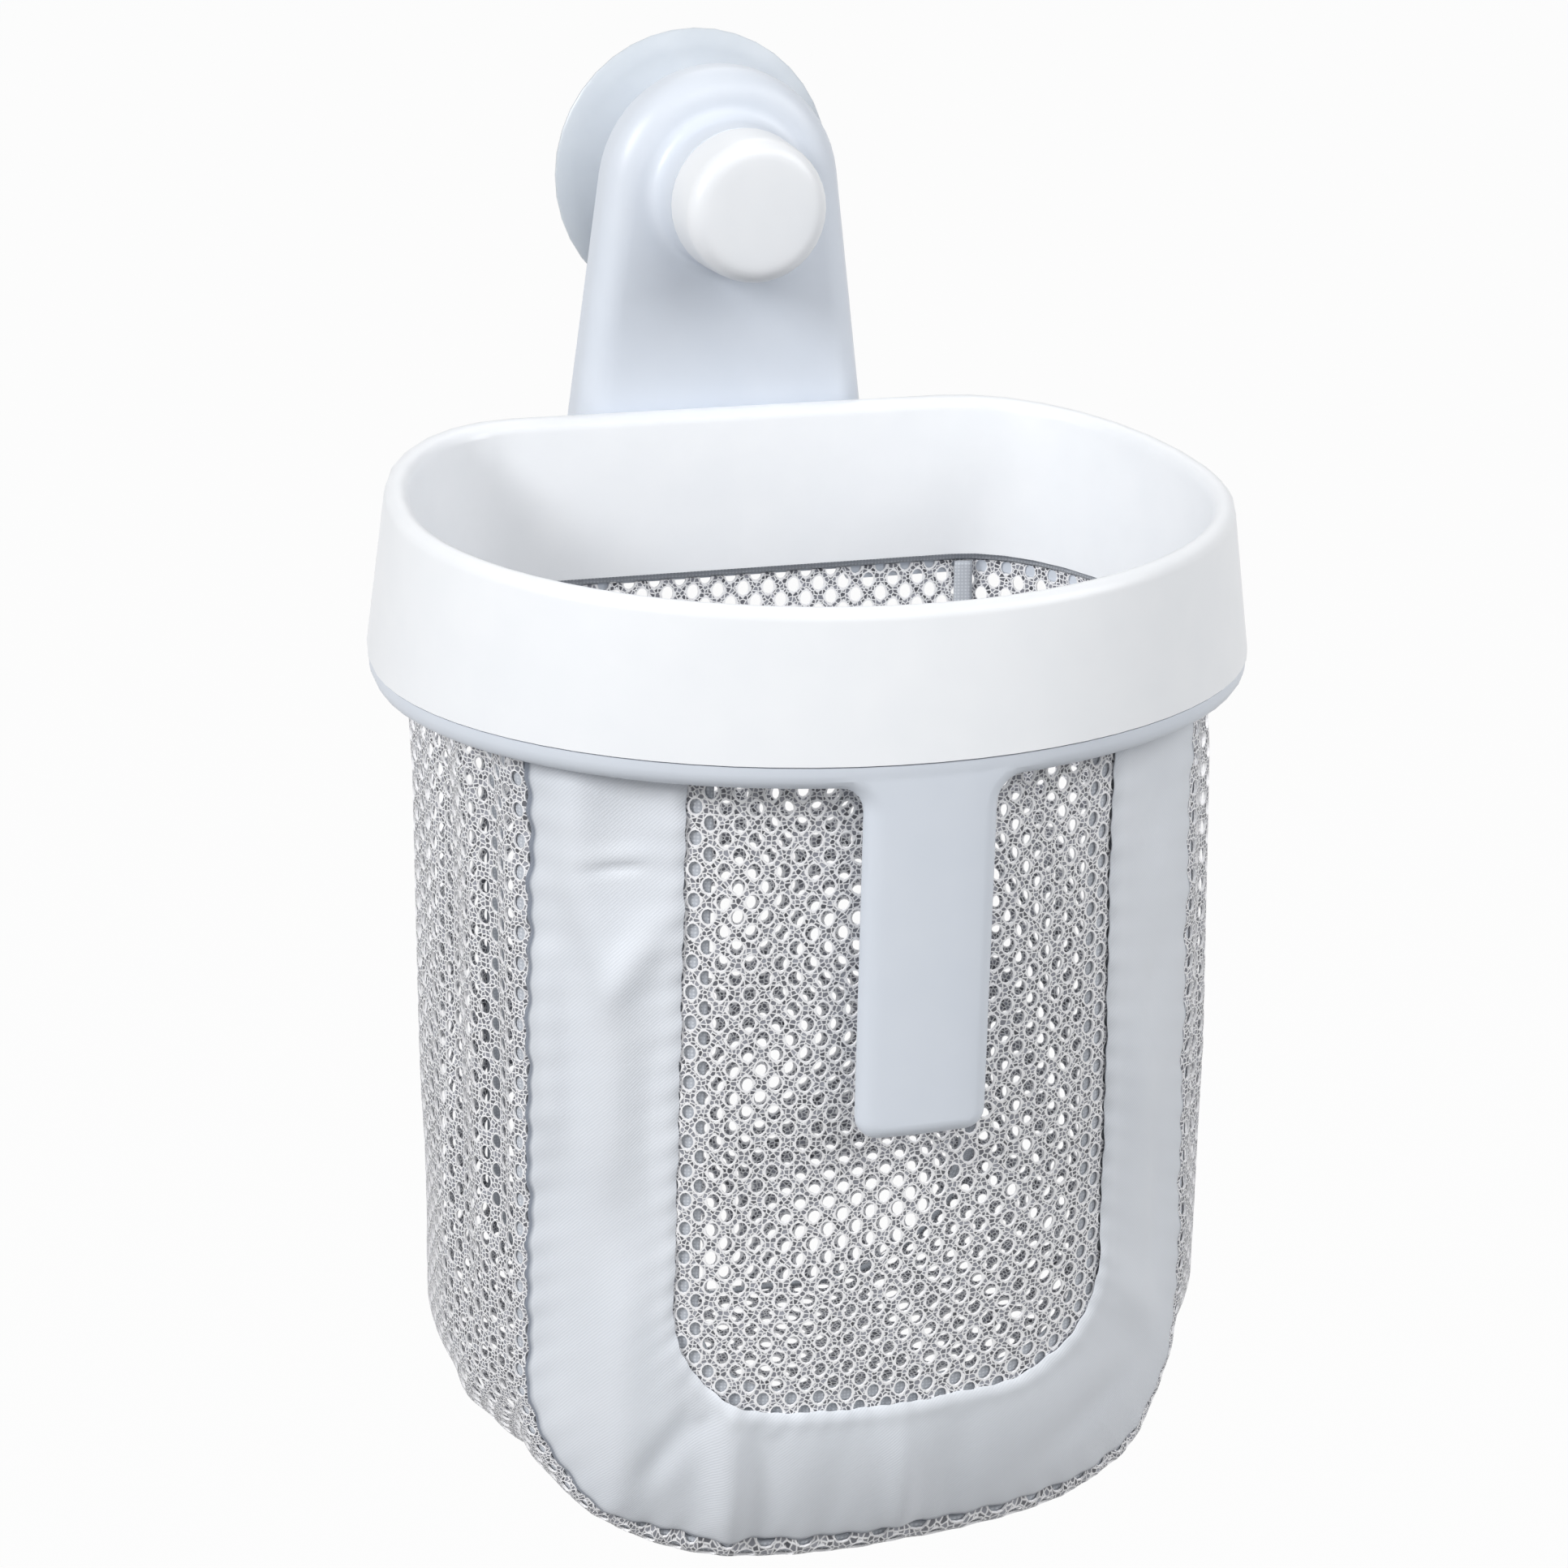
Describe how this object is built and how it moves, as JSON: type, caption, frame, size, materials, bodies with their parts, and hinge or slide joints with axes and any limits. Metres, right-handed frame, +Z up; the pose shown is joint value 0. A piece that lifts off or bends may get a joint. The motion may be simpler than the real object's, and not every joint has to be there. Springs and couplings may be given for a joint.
{
  "type": "bath toy organizer",
  "caption": "Wall-hung bath toy scoop: a D-shaped rim with a front handle and a sewn mesh bag lifts off a hooked bracket held by a suction cup and twist knob.",
  "frame": {"origin": "middle of the suction cup's contact with the wall, on the wall plane", "axes": "+Z up, +Y into the wall, -Y out toward the user, +X to the right as seen from the front"},
  "size_m": [0.2132, 0.1986, 0.3499],
  "materials": {
    "white_plastic": "satin moulded",
    "grey_plastic": "satin moulded",
    "cup_elastomer": "smooth translucent",
    "nylon": "natural",
    "screw_steel": "plain",
    "woven_cloth": "fine diagonal weave",
    "knit_mesh": "open oval-hole knit",
    "hem_tape": "plain weave"
  },
  "bodies": {
    "bracket": {"suction_cup": "cup_elastomer", "wall_bracket": "grey_plastic", "thrust_washer": "nylon"},
    "stud": {"cup_stud": "nylon"},
    "knob": {"suction_knob": "white_plastic"},
    "basket": {"scoop_rim": "white_plastic", "handle_ring": "grey_plastic", "ring_screw_1": "screw_steel", "ring_screw_2": "screw_steel", "ring_screw_3": "screw_steel", "ring_screw_4": "screw_steel", "ring_screw_5": "screw_steel", "ring_screw_6": "screw_steel", "bag_hem": "hem_tape", "front_panel": "woven_cloth", "window_mesh": "knit_mesh", "window_facing": "hem_tape", "back_panel": "knit_mesh", "side_gusset": "knit_mesh", "front_seam_tape": "hem_tape", "back_seam_tape": "hem_tape"}
  },
  "joints": [
    {"name": "knob_turn", "type": "hinge", "parent": "bracket", "child": "knob", "pos_m": [0, -0.0444, 0], "axis": [0, -1, 0], "range_deg": [0, 360]},
    {"name": "stud_draw", "type": "slide", "parent": "bracket", "child": "stud", "axis": [0, -1, 0], "range_m": [-0.003, 0]},
    {"name": "basket_lift", "type": "slide", "parent": "bracket", "child": "basket", "axis": [0, 0, 1], "range_m": [0, 0.026]}
  ],
  "couplings": [
    {"joint": "stud_draw", "follows": "knob_turn", "m_per_rad": -0.00047746}
  ]
}
